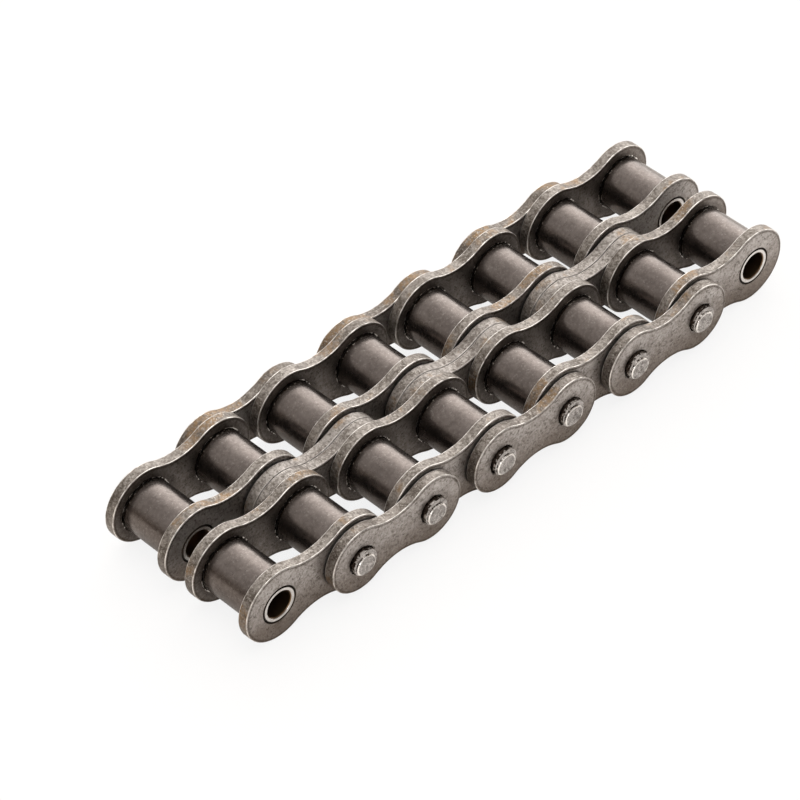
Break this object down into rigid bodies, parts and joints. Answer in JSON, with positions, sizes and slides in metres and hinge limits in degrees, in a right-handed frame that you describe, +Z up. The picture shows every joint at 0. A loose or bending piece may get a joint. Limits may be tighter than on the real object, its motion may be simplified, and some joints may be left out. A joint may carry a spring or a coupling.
{
  "type": "double strand roller chain",
  "caption": "Straight length of riveted duplex roller chain: two rows of free rollers on bushes, hourglass link plates on edge and long pins across both strands.",
  "frame": {"origin": "middle of the length and of the width, on the pitch line through the pin axes", "axes": "+X along the chain, +Y along the pins toward the back strand, +Z up, with the plates on edge"},
  "size_m": [0.1504, 0.048, 0.017],
  "materials": {
    "inner_plates": "heat treated, oiled, worn at the edges",
    "outer_plates": "heat treated, oiled, worn at the edges",
    "centre_plates": "heat treated, oiled, worn at the edges",
    "bushes": "ground, oiled",
    "rollers": "smooth, dark, oiled",
    "pins": "ground bright, riveted heads"
  },
  "bodies": {
    "pin_link_1": {"outer_plate_front_1": "outer_plates", "centre_plate_front_1": "centre_plates", "centre_plate_back_1": "centre_plates", "outer_plate_back_1": "outer_plates", "pin_2": "pins", "pin_3": "pins"},
    "pin_link_2": {"outer_plate_front_2": "outer_plates", "centre_plate_front_2": "centre_plates", "centre_plate_back_2": "centre_plates", "outer_plate_back_2": "outer_plates", "pin_4": "pins", "pin_5": "pins"},
    "pin_link_3": {"outer_plate_front_3": "outer_plates", "centre_plate_front_3": "centre_plates", "centre_plate_back_3": "centre_plates", "outer_plate_back_3": "outer_plates", "pin_6": "pins", "pin_7": "pins"},
    "roller_link_front_1": {"inner_plate_front_strand_1_front": "inner_plates", "inner_plate_front_strand_1_back": "inner_plates", "bushes_front_strand_1": "bushes"},
    "roller_link_front_2": {"inner_plate_front_strand_2_front": "inner_plates", "inner_plate_front_strand_2_back": "inner_plates", "bushes_front_strand_2": "bushes"},
    "roller_link_front_3": {"inner_plate_front_strand_3_front": "inner_plates", "inner_plate_front_strand_3_back": "inner_plates", "bushes_front_strand_3": "bushes"},
    "roller_link_front_4": {"inner_plate_front_strand_4_front": "inner_plates", "inner_plate_front_strand_4_back": "inner_plates", "bushes_front_strand_4": "bushes"},
    "roller_link_back_1": {"inner_plate_back_strand_1_front": "inner_plates", "inner_plate_back_strand_1_back": "inner_plates", "bushes_back_strand_1": "bushes"},
    "roller_link_back_2": {"inner_plate_back_strand_2_front": "inner_plates", "inner_plate_back_strand_2_back": "inner_plates", "bushes_back_strand_2": "bushes"},
    "roller_link_back_3": {"inner_plate_back_strand_3_front": "inner_plates", "inner_plate_back_strand_3_back": "inner_plates", "bushes_back_strand_3": "bushes"},
    "roller_link_back_4": {"inner_plate_back_strand_4_front": "inner_plates", "inner_plate_back_strand_4_back": "inner_plates", "bushes_back_strand_4": "bushes"},
    "roller_front_1": {"roller_front_strand_1": "rollers"},
    "roller_front_2": {"roller_front_strand_2": "rollers"},
    "roller_front_3": {"roller_front_strand_3": "rollers"},
    "roller_front_4": {"roller_front_strand_4": "rollers"},
    "roller_front_5": {"roller_front_strand_5": "rollers"},
    "roller_front_6": {"roller_front_strand_6": "rollers"},
    "roller_front_7": {"roller_front_strand_7": "rollers"},
    "roller_front_8": {"roller_front_strand_8": "rollers"},
    "roller_back_1": {"roller_back_strand_1": "rollers"},
    "roller_back_2": {"roller_back_strand_2": "rollers"},
    "roller_back_3": {"roller_back_strand_3": "rollers"},
    "roller_back_4": {"roller_back_strand_4": "rollers"},
    "roller_back_5": {"roller_back_strand_5": "rollers"},
    "roller_back_6": {"roller_back_strand_6": "rollers"},
    "roller_back_7": {"roller_back_strand_7": "rollers"},
    "roller_back_8": {"roller_back_strand_8": "rollers"}
  },
  "joints": [
    {"name": "bend_back_link_2_on_pin_4", "type": "hinge", "parent": "pin_link_2", "child": "roller_link_back_2", "pos_m": [-0.00953, 0, 0], "axis": [0, 1, 0], "range_deg": [-40, 40]},
    {"name": "bend_front_link_2_on_pin_4", "type": "hinge", "parent": "pin_link_2", "child": "roller_link_front_2", "pos_m": [-0.00953, 0, 0], "axis": [0, 1, 0], "range_deg": [-40, 40]},
    {"name": "bend_pin_link_1_on_joint_3", "type": "hinge", "parent": "roller_link_back_2", "child": "pin_link_1", "pos_m": [-0.02857, 0, 0], "axis": [0, 1, 0], "range_deg": [-40, 40]},
    {"name": "bend_back_link_1_on_pin_2", "type": "hinge", "parent": "pin_link_1", "child": "roller_link_back_1", "pos_m": [-0.04763, 0, 0], "axis": [0, 1, 0], "range_deg": [-40, 40]},
    {"name": "bend_front_link_1_on_pin_2", "type": "hinge", "parent": "pin_link_1", "child": "roller_link_front_1", "pos_m": [-0.04763, 0, 0], "axis": [0, 1, 0], "range_deg": [-40, 40]},
    {"name": "bend_back_link_3_on_pin_5", "type": "hinge", "parent": "pin_link_2", "child": "roller_link_back_3", "pos_m": [0.00953, 0, 0], "axis": [0, -1, 0], "range_deg": [-40, 40]},
    {"name": "bend_front_link_3_on_pin_5", "type": "hinge", "parent": "pin_link_2", "child": "roller_link_front_3", "pos_m": [0.00953, 0, 0], "axis": [0, -1, 0], "range_deg": [-40, 40]},
    {"name": "bend_pin_link_3_on_joint_6", "type": "hinge", "parent": "roller_link_back_3", "child": "pin_link_3", "pos_m": [0.02857, 0, 0], "axis": [0, -1, 0], "range_deg": [-40, 40]},
    {"name": "bend_back_link_4_on_pin_7", "type": "hinge", "parent": "pin_link_3", "child": "roller_link_back_4", "pos_m": [0.04763, 0, 0], "axis": [0, -1, 0], "range_deg": [-40, 40]},
    {"name": "bend_front_link_4_on_pin_7", "type": "hinge", "parent": "pin_link_3", "child": "roller_link_front_4", "pos_m": [0.04763, 0, 0], "axis": [0, -1, 0], "range_deg": [-40, 40]},
    {"name": "spin_roller_front_1", "type": "hinge", "parent": "roller_link_front_1", "child": "roller_front_1", "pos_m": [-0.06667, -0.01127, 0], "axis": [0, 1, 0], "continuous": true},
    {"name": "spin_roller_front_2", "type": "hinge", "parent": "roller_link_front_1", "child": "roller_front_2", "pos_m": [-0.04763, -0.01127, 0], "axis": [0, 1, 0], "continuous": true},
    {"name": "spin_roller_front_3", "type": "hinge", "parent": "roller_link_front_2", "child": "roller_front_3", "pos_m": [-0.02857, -0.01127, 0], "axis": [0, 1, 0], "continuous": true},
    {"name": "spin_roller_front_4", "type": "hinge", "parent": "roller_link_front_2", "child": "roller_front_4", "pos_m": [-0.00953, -0.01127, 0], "axis": [0, 1, 0], "continuous": true},
    {"name": "spin_roller_front_5", "type": "hinge", "parent": "roller_link_front_3", "child": "roller_front_5", "pos_m": [0.00953, -0.01127, 0], "axis": [0, 1, 0], "continuous": true},
    {"name": "spin_roller_front_6", "type": "hinge", "parent": "roller_link_front_3", "child": "roller_front_6", "pos_m": [0.02857, -0.01127, 0], "axis": [0, 1, 0], "continuous": true},
    {"name": "spin_roller_front_7", "type": "hinge", "parent": "roller_link_front_4", "child": "roller_front_7", "pos_m": [0.04763, -0.01127, 0], "axis": [0, 1, 0], "continuous": true},
    {"name": "spin_roller_front_8", "type": "hinge", "parent": "roller_link_front_4", "child": "roller_front_8", "pos_m": [0.06667, -0.01127, 0], "axis": [0, 1, 0], "continuous": true},
    {"name": "spin_roller_back_1", "type": "hinge", "parent": "roller_link_back_1", "child": "roller_back_1", "pos_m": [-0.06667, 0.01151, 0], "axis": [0, 1, 0], "continuous": true},
    {"name": "spin_roller_back_2", "type": "hinge", "parent": "roller_link_back_1", "child": "roller_back_2", "pos_m": [-0.04763, 0.01151, 0], "axis": [0, 1, 0], "continuous": true},
    {"name": "spin_roller_back_3", "type": "hinge", "parent": "roller_link_back_2", "child": "roller_back_3", "pos_m": [-0.02857, 0.01151, 0], "axis": [0, 1, 0], "continuous": true},
    {"name": "spin_roller_back_4", "type": "hinge", "parent": "roller_link_back_2", "child": "roller_back_4", "pos_m": [-0.00953, 0.01151, 0], "axis": [0, 1, 0], "continuous": true},
    {"name": "spin_roller_back_5", "type": "hinge", "parent": "roller_link_back_3", "child": "roller_back_5", "pos_m": [0.00953, 0.01151, 0], "axis": [0, 1, 0], "continuous": true},
    {"name": "spin_roller_back_6", "type": "hinge", "parent": "roller_link_back_3", "child": "roller_back_6", "pos_m": [0.02857, 0.01151, 0], "axis": [0, 1, 0], "continuous": true},
    {"name": "spin_roller_back_7", "type": "hinge", "parent": "roller_link_back_4", "child": "roller_back_7", "pos_m": [0.04763, 0.01151, 0], "axis": [0, 1, 0], "continuous": true},
    {"name": "spin_roller_back_8", "type": "hinge", "parent": "roller_link_back_4", "child": "roller_back_8", "pos_m": [0.06667, 0.01151, 0], "axis": [0, 1, 0], "continuous": true}
  ],
  "couplings": [
    {"joint": "bend_front_link_2_on_pin_4", "follows": "bend_back_link_2_on_pin_4", "ratio": 1},
    {"joint": "bend_front_link_3_on_pin_5", "follows": "bend_back_link_3_on_pin_5", "ratio": 1}
  ]
}
